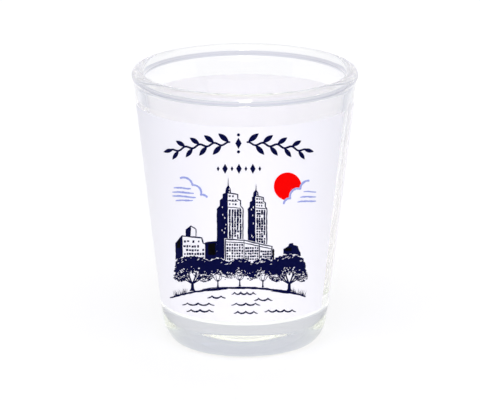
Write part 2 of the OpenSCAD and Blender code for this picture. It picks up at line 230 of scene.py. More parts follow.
def floor_material():
    """Pale round the object, and softly greyer beyond what the camera sees: painted shade that
    stands in for the studio light falling off.
    """
    mat, bsdf, tree = shader("studio_floor")
    coords = tree.nodes.new("ShaderNodeTexCoord")
    share = tree.nodes.new("ShaderNodeVectorMath")
    share.operation = "DIVIDE"
    share.inputs[1].default_value = FLOOR_PALE
    tree.links.new(coords.outputs["Object"], share.inputs[0])
    size = tree.nodes.new("ShaderNodeVectorMath")
    size.operation = "ABSOLUTE"
    tree.links.new(share.outputs["Vector"], size.inputs[0])
    split = tree.nodes.new("ShaderNodeSeparateXYZ")
    tree.links.new(size.outputs["Vector"], split.inputs["Vector"])
    away = tree.nodes.new("ShaderNodeMath")
    away.operation = "MAXIMUM"
    tree.links.new(split.outputs["X"], away.inputs[0])
    tree.links.new(split.outputs["Y"], away.inputs[1])
    painted_shade_mask = tree.nodes.new("ShaderNodeMapRange")
    painted_shade_mask.interpolation_type = "SMOOTHSTEP"
    painted_shade_mask.inputs["From Min"].default_value = 1
    painted_shade_mask.inputs["From Max"].default_value = FLOOR_FADE
    tree.links.new(away.outputs["Value"], painted_shade_mask.inputs["Value"])
    faint = spread(tree, noise(tree, 6, 1), 0, 1)
    pale = blend_colours(tree, faint, (0.945, 0.945, 0.945), (0.955, 0.955, 0.955))
    # Painted shade: the floor's colour turns grey away from the part that the camera sees.
    colour = blend_colours(tree, painted_shade_mask.outputs["Result"], pale, FLOOR_PAINTED_SHADE)
    tree.links.new(colour, bsdf.inputs["Base Color"])
    bsdf.inputs["Roughness"].default_value = 0.9
    bsdf.inputs["Specular IOR Level"].default_value = 0
    return mat


# ---------------------------------------------------------------- meshes


def add_piece(name, verts, faces, mat, smooth=False):
    """A mesh object, in metres, from points in millimetres."""
    mesh = bpy.data.meshes.new(name)
    mesh.from_pydata([(x * MM, y * MM, z * MM) for x, y, z in verts], [], faces)
    mesh.materials.append(mat)
    mesh.validate()
    if smooth:
        mesh.polygons.foreach_set("use_smooth", [True] * len(mesh.polygons))
    obj = bpy.data.objects.new(name, mesh)
    bpy.context.scene.collection.objects.link(obj)
    return obj


def finish_piece(piece, node):
    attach(piece, "root")
    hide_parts(node)


def arc(cx, cz, r, a0, a1, n):
    """Points of an arc, angles in degrees."""
    return [
        (
            cx + r * math.cos(math.radians(a0 + (a1 - a0) * i / n)),
            cz + r * math.sin(math.radians(a0 + (a1 - a0) * i / n)),
        )
        for i in range(n + 1)
    ]


def run(a, b, step):
    """Points from a to b, about a step apart, without b."""
    n = max(1, round(math.dist(a, b) / step))
    return [(a[0] + (b[0] - a[0]) * i / n, a[1] + (b[1] - a[1]) * i / n) for i in range(n)]


def glass_profile():
    """The glass's section from the middle of the hollow foot, round the outside, to the floor."""
    wall_deg = math.degrees(WALL_ANGLE)
    heel_x = wall_r(HEEL_H) - HEEL_R * math.cos(WALL_ANGLE)
    heel_z = HEEL_H + HEEL_R * math.sin(WALL_ANGLE)
    round_x = heel_x + math.sqrt((HEEL_R - FOOT_ROUND_R) ** 2 - (heel_z - FOOT_ROUND_R) ** 2)
    turn = math.degrees(math.atan2(FOOT_ROUND_R - heel_z, round_x - heel_x))
    punt_r = round_x - FOOT_RING_W
    sphere_r = (punt_r**2 + PUNT_DEPTH**2) / (2 * PUNT_DEPTH)
    punt_deg = math.degrees(math.asin(punt_r / sphere_r))
    punt = arc(0, PUNT_DEPTH - sphere_r, sphere_r, 90, 90 - punt_deg, 14)
    foot = run((punt_r + FOOT_STEP / 2, 0), (round_x, 0), FOOT_STEP)
    foot_round = arc(round_x, FOOT_ROUND_R, FOOT_ROUND_R, -90, turn, 14)
    heel = arc(heel_x, heel_z, HEEL_R, turn, -wall_deg, 16)
    bead_low = wall_r(BEAD_C[1] - BEAD_DROP_OUT), BEAD_C[1] - BEAD_DROP_OUT
    outer = run((wall_r(HEEL_H), HEEL_H), bead_low, STEP)
    bead = arc(*BEAD_C, BEAD_D / 2, BEAD_START, BEAD_END, 34)
    bore_high = BORE_TOP_R - BORE_SLOPE * BEAD_DROP_IN, BEAD_C[1] - BEAD_DROP_IN
    bore_deg = math.degrees(BORE_ANGLE)
    floor_x = BORE_FLOOR_R + FLOOR_ROUND_R * (math.tan(BORE_ANGLE) - 1 / math.cos(BORE_ANGLE))
    floor_z = BASE_T + FLOOR_ROUND_R
    corner = arc(floor_x, floor_z, FLOOR_ROUND_R, -bore_deg, -90, 14)
    bore = run(bore_high, corner[0], STEP)
    floor = run((floor_x, BASE_T), (0, BASE_T), STEP)[1:]
    return (
        punt + foot + foot_round + heel[1:] + outer[1:] + bead + bore + corner + floor
        + [(0, BASE_T)]
    )


def lathe(name, profile, mat, turns=256):
    """A solid of revolution whose profile starts and ends on the axis."""
    verts = [(0, 0, profile[0][1]), (0, 0, profile[-1][1])]
    ring = profile[1:-1]
    for k in range(turns):
        a = 2 * math.pi * k / turns
        verts += [(r * math.cos(a), r * math.sin(a), z) for r, z in ring]
    n = len(ring)
    faces = []
    for k in range(turns):
        here = 2 + k * n
        there = 2 + (k + 1) % turns * n
        faces.append((0, there, here))
        faces += [
            (here + i, there + i, there + i + 1, here + i + 1) for i in range(n - 1)
        ]
        faces.append((1, here + n - 1, there + n - 1))
    return add_piece(name, verts, faces, mat, smooth=True)


SHARP_ANGLE = 40


def wall_sleeve(name, t0, t1, z0, z1, a0, a1, mat, turns=288, rings=40):
    """A closed layer on the outer wall between two angles, in degrees, and two heights."""
    verts = []
    for k in range(turns + 1):
        a = math.radians(a0 + (a1 - a0) * k / turns)
        for t in (t0, t1):
            for i in range(rings + 1):
                z = z0 + (z1 - z0) * i / rings
                r = wall_r(z) + t
                verts.append((r * math.cos(a), r * math.sin(a), z))
    row = rings + 1
    col = 2 * row
    faces = []
    for k in range(turns):
        i0, o0 = k * col, k * col + row
        i1, o1 = i0 + col, o0 + col
        for i in range(rings):
            faces.append((o0 + i, o1 + i, o1 + i + 1, o0 + i + 1))
            faces.append((i1 + i, i0 + i, i0 + i + 1, i1 + i + 1))
        faces.append((i0, i1, o1, o0))
        faces.append((i1 + rings, i0 + rings, o0 + rings, o1 + rings))
    for k, flip in ((0, False), (turns, True)):
        for i in range(rings):
            end = (k * col + i, k * col + row + i, k * col + row + i + 1, k * col + i + 1)
            faces.append(end[::-1] if flip else end)
    obj = add_piece(name, verts, faces, mat, smooth=True)
    obj.data.set_sharp_from_angle(angle=math.radians(SHARP_ANGLE))
    return obj


# ---------------------------------------------------------------- pressing drawings on the wall

VIEW_SIN = math.sin(math.radians(ART_VIEW_ANGLE))
VIEW_COS = math.cos(math.radians(ART_VIEW_ANGLE))
GROUND_MID = (GROUND_LOW + GROUND_HIGH) / 2
PLANE_TOP = (GROUND_HIGH - GROUND_MID) * VIEW_COS - wall_r(GROUND_HIGH) * VIEW_SIN
ART_LIFT = PLANE_TOP - ART_TOP_MARGIN - ART_TOP
# The flat drawings are ruled this finely before they are pressed, so that they bend with the wall
GRID = 0.7
ROW_GRID = 3
RULE_OVERHANG = 1


def press(x, y, lift):
    """The point of the wall, raised by lift, behind the point x, y of the flat drawing."""
    x += ART_SHIFT
    y += ART_LIFT
    back = y * VIEW_SIN
    up = GROUND_MID + y * VIEW_COS
    r0 = FOOT_R + lift + WALL_SLOPE * up
    a = VIEW_COS**2 - (WALL_SLOPE * VIEW_SIN) ** 2
    b = back * VIEW_COS + r0 * WALL_SLOPE * VIEW_SIN
    c = back**2 + x**2 - r0**2
    t = (b + math.sqrt(b * b - a * c)) / a
    return (x, back - t * VIEW_COS, up + t * VIEW_SIN)


def ccw(poly):
    """The outline, turned to run anticlockwise."""
    area = sum(
        p[0] * q[1] - q[0] * p[1] for p, q in zip(poly, poly[1:] + poly[:1])
    )
    return poly if area > 0 else poly[::-1]


def ink_piece(name, mat, node, add, cut=()):
    """Ink over the union of the add outlines, less the cut ones, as closed solids."""
    points, faces = [], []
    for poly in list(add) + list(cut):
        faces.append(list(range(len(points), len(points) + len(poly))))
        points += ccw(list(poly))
    xs = [p[0] for p in points]
    ys = [p[1] for p in points]
    edges = []

    def rule(p, q):
        edges.append((len(points), len(points) + 1))
        points.extend([p, q])

    x = math.floor(min(xs) / GRID) * GRID
    while x < max(xs) + GRID:
        rule((x, min(ys) - RULE_OVERHANG), (x, max(ys) + RULE_OVERHANG))
        x += GRID
    y = math.floor(min(ys)) - 0.5
    while y < max(ys) + ROW_GRID:
        rule((min(xs) - RULE_OVERHANG, y), (max(xs) + RULE_OVERHANG, y))
        y += ROW_GRID
    flat, _, tris, _, _, origin = delaunay_2d_cdt(
        [Vector(p) for p in points], edges, faces, 1, 1e-5
    )
    kept = [
        t for t, src in zip(tris, origin)
        if any(s < len(add) for s in src) and not any(s >= len(add) for s in src)
    ]
    used = sorted({v for t in kept for v in t})
    index = {v: i for i, v in enumerate(used)}
    verts = [press(*flat[v], GROUND_T + INK_T) for v in used]
    verts += [press(*flat[v], GROUND_T) for v in used]
    n = len(used)
    solid, borders = [], {}
    for t in kept:
        t = [index[v] for v in t]
        solid.append(tuple(t))
        solid.append(tuple(v + n for v in reversed(t)))
        for a, b in zip(t, t[1:] + t[:1]):
            borders[(a, b)] = borders.get((a, b), 0) + 1
    for a, b in borders:
        if (b, a) not in borders:
            solid.append((b, a, a + n, b + n))
    finish_piece(add_piece(name, verts, solid, mat), node)


# ---------------------------------------------------------------- drawing tools


def ribbon(points, width, taper=0.5, wobble=None):
    """A pen stroke as quads: full width in the middle, and a share of it at both ends."""
    n = len(points)
    sides = []
    for i, p in enumerate(points):
        a, b = points[max(i - 1, 0)], points[min(i + 1, n - 1)]
        dx, dy = b[0] - a[0], b[1] - a[1]
        d = math.hypot(dx, dy) or 1
        w = width * (taper + (1 - taper) * max(0, math.sin(math.pi * i / (n - 1))) ** 0.6) / 2
        if wobble:
            w *= 1 + wobble.uniform(-0.22, 0.22)
        left = p[0] - dy / d * w, p[1] + dx / d * w
        right = p[0] + dy / d * w, p[1] - dx / d * w
        sides.append((left, right))
    return [
        [sides[i][0], sides[i][1], sides[i + 1][1], sides[i + 1][0]] for i in range(n - 1)
    ]


def dot(c, r, n=20):
    return arc(*c, r, 0, 360 - 360 / n, n - 1)


def scruffy(c, r, rnd, n=9, squash=0.7, turn=0.0, rough=0.3):
    """An uneven blot, such as a clump of leaves or a window drawn by hand."""
    out = []
    for i in range(n):
        a = 2 * math.pi * i / n
        k = r * (1 + rnd.uniform(-rough, rough))
        x, y = k * math.cos(a), k * squash * math.sin(a)
        out.append((
            c[0] + x * math.cos(turn) - y * math.sin(turn),
            c[1] + x * math.sin(turn) + y * math.cos(turn),
        ))
    return out


def cut_by_hand(poly, rnd, amount=0.05, step=0.55):
    """An outline whose straight edges waver slightly."""
    out = []
    for p, q in zip(poly, poly[1:] + poly[:1]):
        n = max(1, round(math.dist(p, q) / step))
        for i in range(n):
            t = i / n
            out.append((
                p[0] + (q[0] - p[0]) * t + rnd.uniform(-amount, amount),
                p[1] + (q[1] - p[1]) * t + rnd.uniform(-amount, amount),
            ))
    return out


CORNER_DOT = 0.42


def drawn_line(points, width, rnd, amount=0.04, step=0.5):
    """Lines drawn by hand through the points."""
    out = []
    for p, q in zip(points, points[1:]):
        n = max(2, round(math.dist(p, q) / step))
        track = [
            (
                p[0] + (q[0] - p[0]) * i / n + (rnd.uniform(-amount, amount) if 0 < i < n else 0),
                p[1] + (q[1] - p[1]) * i / n + (rnd.uniform(-amount, amount) if 0 < i < n else 0),
            )
            for i in range(n + 1)
        ]
        out += ribbon(track, width, 0.8, rnd)
        out.append(dot(p, width * CORNER_DOT, 8))
    out.append(dot(points[-1], width * CORNER_DOT, 8))
    return out


def window_rows(x0, x1, y0, y1, cols, rows, w, h, rnd, missing=0.06, slope=0.0):
    """Small dark windows, not quite alike and not quite in line."""
    out = []
    for c in range(cols):
        for r in range(rows):
            if rnd.random() < missing:
                continue
            x = x0 + (x1 - x0) * (c + 0.5) / cols + rnd.uniform(-0.05, 0.05)
            y = y0 + (y1 - y0) * (r + 0.5) / rows + rnd.uniform(-0.06, 0.06) + slope * (x - x0)
            ww = w * rnd.uniform(0.7, 1.2) / 2
            hh = h * rnd.uniform(0.7, 1.15) / 2
            out.append(cut_by_hand(
                [(x - ww, y - hh), (x + ww, y - hh), (x + ww, y + hh), (x - ww, y + hh)],
                rnd, 0.03, 1,
            ))
    return out


def mirrored(polys):
    """The outlines and their mirror images about x = 0."""
    return polys + [[(-x, y) for x, y in p] for p in polys]


# ---------------------------------------------------------------- the drawings

SPRIG_ARCH_R = 70
SPRIG_MID = 11.25
SPRIG_SHIFT = -0.45
SPRIG_W = 0.42
SPRIG_START = 1.7
SPRIG_END = 14.1
SPRIG_WAVE = 0.3
SPRIG_LEAVES = 8
FIRST_LEAF = 2
LEAF_PITCH = 1.52
LEAF_TURN = 42
LEAF_LEN = 2.8
LEAF_BULGE = 0.54
LEAF_TAPER = 0.78


def on_arch(s, h):
    """The place at distance s along the arch and h above it."""
    a = s / SPRIG_ARCH_R
    return (
        (SPRIG_ARCH_R + h) * math.sin(a),
        SPRIG_MID - SPRIG_ARCH_R + (SPRIG_ARCH_R + h) * math.cos(a),
    )


def sway(s):
    """The stem's gentle wave about the arch, which leans it towards each leaf."""
    return SPRIG_WAVE * math.cos(math.pi * (s - FIRST_LEAF) / LEAF_PITCH)


def leaf(s, turn, size):
    """A pointed leaf from the stem at s, turned from the arch's own line by turn degrees."""
    out = []
    a = math.radians(turn)
    for sign in (1, -1):
        for i in range(11):
            t = i / 11
            if sign < 0:
                t = 1 - t
            x = LEAF_LEN * size * t
            y = sign * LEAF_BULGE * size * max(0, math.sin(math.pi * t)) ** 0.9
            out.append(on_arch(
                s + x * math.cos(a) - y * math.sin(a),
                sway(s) + x * math.sin(a) + y * math.cos(a),
            ))
    return out


def sprig_drawing():
    """A pair of leafy sprigs that arch away from a lozenge."""
    n = 60
    track = [SPRIG_START + (SPRIG_END - SPRIG_START) * i / n for i in range(n + 1)]
    half = ribbon([on_arch(s, sway(s)) for s in track], SPRIG_W, 0.8)
    for i in range(SPRIG_LEAVES):
        size = 1 - (1 - LEAF_TAPER) * i / SPRIG_LEAVES
        turn = LEAF_TURN if i % 2 == 0 else -LEAF_TURN
        half.append(leaf(FIRST_LEAF + LEAF_PITCH * i, turn, size))
    half.append(leaf(SPRIG_END - 0.4, 0, LEAF_TAPER))
    mid = SPRIG_MID
    whole = mirrored(half) + [
        [(-0.65, mid), (0, mid - 1.15), (0.65, mid), (0, mid + 1.15)],
        dot((0, mid + 1.75), 0.32),
        dot((0, mid - 1.75), 0.32),
    ]
    return [[(x + SPRIG_SHIFT, y) for x, y in p] for p in whole]


DIVIDER_H = 6
DIVIDER_SHIFT = -0.35
DIVIDER_PITCH = 1.45
LOZENGE_HALF_W = 0.575
LOZENGE_HALF_H = 1.05


def divider_drawing():
    """A row of lozenges, large and small in turn."""
    out = []
    for i in range(-3, 4):
        share = 1 if i % 2 == 0 else 0.5
        w, h, x = LOZENGE_HALF_W * share, LOZENGE_HALF_H * share, i * DIVIDER_PITCH + DIVIDER_SHIFT
        out.append([(x - w, DIVIDER_H), (x, DIVIDER_H - h), (x + w, DIVIDER_H), (x, DIVIDER_H + h)])
    return out


SUN_C = (9.85, 2.35)
SUN_R = 2.9
CLOUD_W = 0.42
# Bumps of a cloud: middle, radius, start and end angle
RIGHT_BUMPS = [
    ((14.3, 1.85), 1.75, 85, 183),
    ((12, 0.3), 1.62, 69, 199),
    ((10.25, -1.35), 1.2, 78, 180),
]
LEFT_BUMPS = [
    ((-12, 2.3), 1.95, 112, 8),
    ((-9.9, 1), 1.65, 100, -18),
    ((-8.1, -0.75), 1.38, 104, 35),
]
# Streaks of a cloud: left end, right end, height, drop to the right, width
LEFT_STREAKS = [
    (-14.1, -10.4, 2.1, 0.15, 0.37),
    (-14.4, -9.8, 1.2, 0.2, 0.37),
    (-14.4, -9.4, 0.4, 0.3, 0.38),
    (-13.7, -10, -0.6, -0.1, 0.33),
]
RIGHT_STREAKS = [
    (13.2, 15.9, 1.25, -0.05, 0.28),
    (12.5, 15.9, 0.1, -0.2, 0.32),
    (11.9, 15.9, -0.9, -0.3, 0.35),
]


def cloud_drawing(bumps, streaks, rnd):
    out = []
    for c, r, a0, a1 in bumps:
        out += ribbon(arc(*c, r, a0, a1, 18), CLOUD_W, 0.85, rnd)
    for x0, x1, h, drop, width in streaks:
        out += streak(x0, x1, h, drop, width, rnd)
    return out


def streak(x0, x1, h, drop, width, rnd):
    n = 12
    track = []
    for i in range(n + 1):
        y = h - drop * i / n + 0.07 * math.sin(5.2 * i / n) + rnd.uniform(-0.02, 0.02)
        track.append((x0 + (x1 - x0) * i / n, y))
    return ribbon(track, width, 0.45, rnd)


def cloud_cover():
    """The part of the sun that the right cloud hides."""
    cover = [dot(c, r + CLOUD_W / 2 + 0.03, 40) for c, r, _, _ in RIGHT_BUMPS]
    cover.append([(10.25, -1.35), (10.9, 0), (12, 1.5), (14.3, 3), (16, -3), (9.6, -3)])
    return cover


CANOPY_X = (-14.1, 14.0)
CANOPY_SLANT = 0.5
CANOPY_TOP = -14.0
CANOPY_FOOT = -16.5
STREET = -14.0
# Trees: middle, half width of the trunk, rise of the crown, its reach
TREES = [
    (-10.2, 0.34, 1.6, 4.6), (-4.8, 0.13, 1.05, 2.7), (-0.2, 0.13, 1.05, 2.9),
    (4.7, 0.13, 1.05, 2.9), (10.3, 0.34, 1.9, 4.8),
]
# A tree with a trunk thicker than this has hanging boughs and more branches
BIG_HALF = 0.2
PART_RISE = 1.0
PART_W = 0.4
CROWN_HALO = 0.3
BELOW_ALL = -30


def crown(x):
    """Height of the tree line's upper edge, which rises over each tree."""
    return max(
        rise * math.cos(math.radians(min(90, 90 * abs(x - mid) / reach)))
        for mid, _, rise, reach in TREES
    )


def parting(x):
    """Rise of the tree line's lower edge over each trunk."""
    return max(
        PART_RISE * math.exp(-(((x - mid) / (PART_W * reach)) ** 2)) for mid, _, _, reach in TREES
    )


def shore(x):
    """Height of the shore line, which falls away to both sides."""
    return -18.95 - 2.1 * (x / 14.5) ** 2


def canopy_x(t, inset=0.0):
    """The place at share t of the way along the tree line."""
    return CANOPY_X[0] + inset + (CANOPY_X[1] - CANOPY_X[0] - 2 * inset) * t


def canopy_mass(rnd):
    """The solid middle of the tree line."""
    n = 90
    top, low = [], []
    for i in range(n + 1):
        x = canopy_x(i / n, CANOPY_SLANT + 0.2)
        top.append((x, CANOPY_TOP + crown(x) + rnd.uniform(-0.15, 0.15)))
        x = canopy_x(i / n, 0.2)
        low.append((x, CANOPY_FOOT + parting(x) + rnd.uniform(-0.25, 0.25)))
    return low + top[::-1]


def canopy_drawing(rnd):
    """(outlines of the leaves, outlines of the light that shows through them)."""
    add = [canopy_mass(rnd)]
    gaps = []
    for _ in range(170):
        x = canopy_x(rnd.random(), CANOPY_SLANT)
        add.append(scruffy(
            (x, CANOPY_TOP + crown(x) + rnd.uniform(-0.15, 0.14)), rnd.uniform(0.14, 0.28), rnd, 7
        ))
    for _ in range(40):
        for end, inset in ((0, rnd.uniform(-0.1, 0.3)), (1, rnd.uniform(-0.1, 0.3))):
            y = rnd.uniform(CANOPY_FOOT, CANOPY_TOP + 0.6)
            lean = CANOPY_SLANT * (y - CANOPY_FOOT) / (CANOPY_TOP - CANOPY_FOOT)
            add.append(scruffy((canopy_x(end, inset + lean), y), rnd.uniform(0.12, 0.28), rnd, 7))
    for _ in range(300):
        x = canopy_x(rnd.random())
        drop = min(abs(rnd.gauss(0, 1)) * 0.42, 0.95)
        add.append(scruffy(
            (x, CANOPY_FOOT + parting(x) - drop),
            rnd.uniform(0.11, 0.24), rnd, 7, 0.6, rnd.uniform(-0.5, 0.5), 0.35,
        ))
    # boughs of leaves that hang either side of the two big trunks
    for mid, half, _, _ in TREES:
        if half < BIG_HALF:
            continue
        for _ in range(120):
            out = rnd.uniform(0.9, 4.2) * rnd.choice((-1, 1))
            x = mid + out
            if not CANOPY_X[0] - 0.2 < x < CANOPY_X[1] + 0.2:
                continue
            low = -16.4 - 1.35 * math.sin(math.pi * min(1, max(0, (abs(out) - 0.5) / 4.2)))
            add.append(scruffy(
                (x, low + abs(rnd.gauss(0, 0.55))), rnd.uniform(0.12, 0.26), rnd, 7, 0.55,
                rnd.uniform(-0.4, 0.4), 0.35,
            ))
    for _ in range(110):
        x = canopy_x(rnd.random(), 0.5)
        gaps.append(scruffy(
            (x, CANOPY_FOOT + parting(x) + rnd.uniform(-0.5, 0.8)),
            rnd.uniform(0.07, 0.17), rnd, 6, 0.6, rnd.uniform(-1, 1),
        ))
    for mid, half, _, _ in TREES:
        for _ in range(34 if half > BIG_HALF else 4):
            x = mid + rnd.gauss(0, 1) * (2.2 if half > BIG_HALF else 0.9)
            gaps.append(scruffy(
                (x, CANOPY_FOOT + parting(x) + rnd.uniform(-0.9, 1.1)),
                rnd.uniform(0.08, 0.22), rnd, 6, 0.6, rnd.uniform(-1, 1),
            ))
    for _ in range(46):
        x = canopy_x(rnd.random(), 0.8)
        y = CANOPY_TOP + crown(x) - rnd.uniform(0.25, 0.7)
        gaps.append(scruffy((x, y), rnd.uniform(0.14, 0.3), rnd, 7, 0.28, rnd.uniform(0.2, 0.9)))
    return add, gaps


def behind_trees():
    """The halo of bare ground over the tree line, and all that lies below it."""
    halo_rnd = random.Random(5)
    n = 90
    xs = [CANOPY_X[0] - 1 + (CANOPY_X[1] - CANOPY_X[0] + 2) * i / n for i in range(n + 1)]
    top = [(x, CANOPY_TOP + CROWN_HALO + crown(x) + halo_rnd.uniform(-0.14, 0.14)) for x in xs]
    return [[(xs[0], BELOW_ALL), (xs[-1], BELOW_ALL)] + top[::-1]]


OUTLINE_W = 0.24
FINE_W = 0.16


def tower(x0, split, x1, foot, top, needle, cols, rows, rnd):
    """A generic tower in three tiers: shaded on the left, lit on the right.

    Gives its outlines, and the slits of light cut from them.
    """
    rise = (needle - top) * 0.2
    tier = (split - x0) * 0.26
    mid = split + 0.1
    shade = cut_by_hand([
        (x0, STREET), (split, STREET), (split, top + rise * 2.1), (x0 + 2 * tier, top + rise * 1.8),
        (x0 + 2 * tier, top + rise), (x0 + tier, top + rise * 0.6), (x0 + tier, top - rise * 0.4),
        (x0, top - rise),
    ], rnd, 0.05, 0.7)
    out = [shade]
    out += drawn_line([
        (split, top + rise * 2), (x1 - 2 * tier, top + rise * 1.7),
        (x1 - 2 * tier, top + rise * 0.8), (x1 - tier, top + rise * 0.5),
        (x1 - tier, top - rise * 0.5), (x1 - 0.1, top - rise), (x1 - 0.1, foot),
    ], OUTLINE_W, rnd)
    out += drawn_line([(split, top - rise * 0.7), (x1 - tier, top - rise * 0.9)], FINE_W, rnd)
    out += drawn_line([(split, top + rise * 0.5), (x1 - 2 * tier, top + rise * 0.4)], FINE_W, rnd)
    out += window_rows(
        split + 0.15, x1 - 0.35, foot + 0.2, top - rise - 0.15, cols, rows, 0.38, 0.5, rnd, 0.02
    )
    out += window_rows(
        split + 0.1, x1 - 2 * tier - 0.1, top - rise * 0.5, top + rise * 1.7, 3, 3, 0.32, 0.34, rnd
    )
    out.append(cut_by_hand([
        (mid - 0.6, top + rise * 1.9), (mid + 0.6, top + rise * 1.9), (mid + 0.5, top + rise * 2.8),
        (mid + 0.13, top + rise * 3.4), (mid, needle), (mid - 0.13, top + rise * 3.4),
        (mid - 0.5, top + rise * 2.8),
    ], rnd, 0.03, 0.6))
    slits = []
    for _ in range(7):
        y = foot + (top - foot) * rnd.uniform(0.1, 0.95)
        slits.append(scruffy((x0 + (split - x0) * rnd.uniform(0.45, 0.9), y), 0.1, rnd, 6, 2.2))
    for k in range(2):
        y = top + rise * (2.2 + 0.5 * k)
        slits.append(scruffy((mid + 0.22, y), 0.12, rnd, 6, 1.4))
    return out, slits


# The podium's roof line, from left to right
PODIUM = [(-3.2, -8.7), (0.7, -8.9), (4, -9.7), (6.6, -10.2)]


PODIUM_HALO = 0.22


def podium_face(grow):
    """The podium's whole face and a margin round it, which the towers keep clear of."""
    return [
        (PODIUM[0][0] - grow, STREET - 1), (PODIUM[3][0] + grow, STREET - 1),
        (PODIUM[3][0] + grow, PODIUM[3][1] + grow), (PODIUM[2][0], PODIUM[2][1] + grow),
        (PODIUM[1][0], PODIUM[1][1] + grow), (PODIUM[0][0] - grow, PODIUM[0][1] + grow),
    ]


def podium_drawing(rnd):
    ends = [(x, STREET - 0.5) for x in (PODIUM[0][0], PODIUM[3][0])]
    out = drawn_line([ends[0]] + PODIUM + [ends[1]], OUTLINE_W, rnd)
    out += drawn_line([(-3.1, -9.25), (0.7, -9.45), (4, -10.2), (6.5, -10.75)], 0.18, rnd)
    out += drawn_line([(0.7, -9), (0.75, STREET)], FINE_W, rnd)
    out += drawn_line([(3.9, -9.8), (3.95, STREET)], 0.2, rnd)
    out += window_rows(-3.05, 0.6, -13.2, -9.6, 7, 6, 0.36, 0.42, rnd)
    out += window_rows(0.9, 3.8, -13.2, -10.3, 6, 5, 0.36, 0.44, rnd, slope=0.02)
    out += window_rows(4.1, 6.5, -13.2, -11, 5, 4, 0.38, 0.42, rnd)
    return out


def left_block_drawing(rnd):
    out = drawn_line([(-12.4, -8), (-8.2, -8.4), (-7.9, -9.5), (-7.4, -9.7)], 0.28, rnd)
    out += window_rows(-12.1, -7.6, -13, -9.8, 8, 4, 0.42, 0.46, rnd, 0.15)
    out += window_rows(-12, -8.5, -9.7, -8.6, 6, 1, 0.4, 0.45, rnd, 0.1)
    out.append(cut_by_hand([
        (-13.8, STREET), (-12.25, STREET), (-12.3, -8), (-12.6, -8), (-13.8, -9.5),
    ], rnd, 0.05))
    out.append(cut_by_hand([
        (-7.5, STREET), (-5, STREET), (-5, -9.1), (-6.2, -9.15), (-7.5, -9.35),
    ], rnd, 0.05))
    out += drawn_line(
        [(-11.5, -8.1), (-11.5, -6.7), (-10.5, -5.9), (-9.4, -6.6), (-9.4, -8.3)], 0.2, rnd
    )
    out += drawn_line([(-10.5, -5.9), (-10.65, -8.1)], FINE_W, rnd)
    out.append(cut_by_hand([(-11.5, -8.1), (-10.65, -8.1), (-10.6, -6.1), (-11.5, -6.7)], rnd, 0.04))
    return out


def right_block_drawing(rnd):
    return [cut_by_hand([
        (9, STREET), (12.7, STREET), (12.7, -11.6), (12.3, -11.1), (12.1, -10.1), (11.1, -9.9),
        (11.1, -9.5), (10.6, -9.5), (10.2, -9.7), (10.1, -10.1), (9, -10.8),
    ], rnd, 0.05)]


def black_drawing(rnd):
    """The parts of the low blocks that are printed solid black instead of navy."""
    return [
        cut_by_hand(p, rnd, 0.09, 0.35) for p in (
            [(-13.5, -10.6), (-12.7, -10.6), (-12.7, -8.6), (-13.5, -9.4)],
            [(-6.85, -12), (-5.3, -12), (-5.3, -9.5), (-6.85, -9.6)],
            [(6.8, -13), (7.1, -13), (7.1, -10.9), (6.8, -10.6)],
            [(9.3, -11.2), (10.8, -11.2), (10.8, -10.4), (9.3, -10.6)],
        )
    ]


def branch(root, tip, bow, width, rnd):
    n = 8
    track = []
    for i in range(n + 1):
        t = i / n
        bow_out = bow * math.sin(math.pi * t) + rnd.uniform(-0.02, 0.02)
        track.append((
            root[0] + (tip[0] - root[0]) * t + bow_out, root[1] + (tip[1] - root[1]) * t,
        ))
    return ribbon(track, width, 1.0)


def trunk_drawing(rnd):
    out = []
    for mid, half, _, _ in TREES:
        foot = shore(mid) + 0.3
        big = half > BIG_HALF
        fork = foot + (1.6 if big else 1.3)
        out.append(cut_by_hand([
            (mid - half * 1.9, foot), (mid + half * 1.9, foot),
            (mid + half, foot + 0.5), (mid + half * 0.75, fork + 0.3),
            (mid - half * 0.75, fork + 0.3), (mid - half, foot + 0.5),
        ], rnd, 0.02, 0.5))
        for k in ([-3, -2, -1, 1, 2, 3] if big else [-2, -1, 1, 2]):
            reach = k * (0.85 if big else 0.42)
            rise = (2.7 if big else 1.5) - 0.25 * abs(k)
            tip = (mid + reach, fork + rise)
            width = half * (1.05 - 0.14 * abs(k))
            out += branch((mid, fork - 0.1), tip, 0.12 * k, width, rnd)
            if big:
                out += branch(
                    (mid + reach * 0.55, fork + rise * 0.55),
                    (mid + reach * 1.35, fork + rise * 0.75), 0.05 * k, half * 0.45, rnd,
                )
    return out


SHORE_START = -15.1
SHORE_LEN = 28.9
GRASS_MIDS = (-12.6, 12.4)


def along_shore(x, length, n, lift, shake, width, taper, rnd):
    """A stroke that follows the shore at a height over it."""
    xs = [x + length * i / n for i in range(n + 1)]
    track = [(x, shore(x) + lift + rnd.uniform(-shake, shake)) for x in xs]
    return ribbon(track, width, taper, rnd)


def shore_drawing(rnd):
    """The shore's main line, loose strokes beside it, and a clump of grass at each end."""
    out = along_shore(SHORE_START, SHORE_LEN, 46, 0, 0.05, 0.44, 0.6, rnd)
    for _ in range(15):
        x = rnd.uniform(-11, 8)
        length = rnd.uniform(1.6, 4)
        lift = rnd.uniform(-0.28, 0.3)
        out += along_shore(x, length, 10, lift, 0.03, 0.18, 0.3, rnd)
    for centre in GRASS_MIDS:
        for _ in range(26):
            x = centre + rnd.uniform(-1.5, 1.3)
            lean = rnd.uniform(-0.5, 0.5)
            tall = rnd.uniform(0.5, 1.3)
            y = shore(x)
            out.append([(x - 0.07, y - 0.05), (x + 0.07, y - 0.05), (x + lean * tall, y + tall)])
        for _ in range(12):
            x = centre + rnd.uniform(-1.5, 1.3)
            out.append(scruffy((x, shore(x) + 0.1), rnd.uniform(0.12, 0.25), rnd, 7))
    return out


# Ripples: middle, height, length, crests
RIPPLES = [
    (0.7, -20.35, 5.2, 4), (-5.1, -21.15, 3.9, 2), (4.8, -21.65, 3.9, 2), (-9, -22.7, 6.9, 3),
    (1.1, -22.65, 6.1, 3), (-8.6, -24.1, 5.8, 3), (1.1, -24.4, 5.1, 3), (8.4, -24.1, 6.7, 4),
]


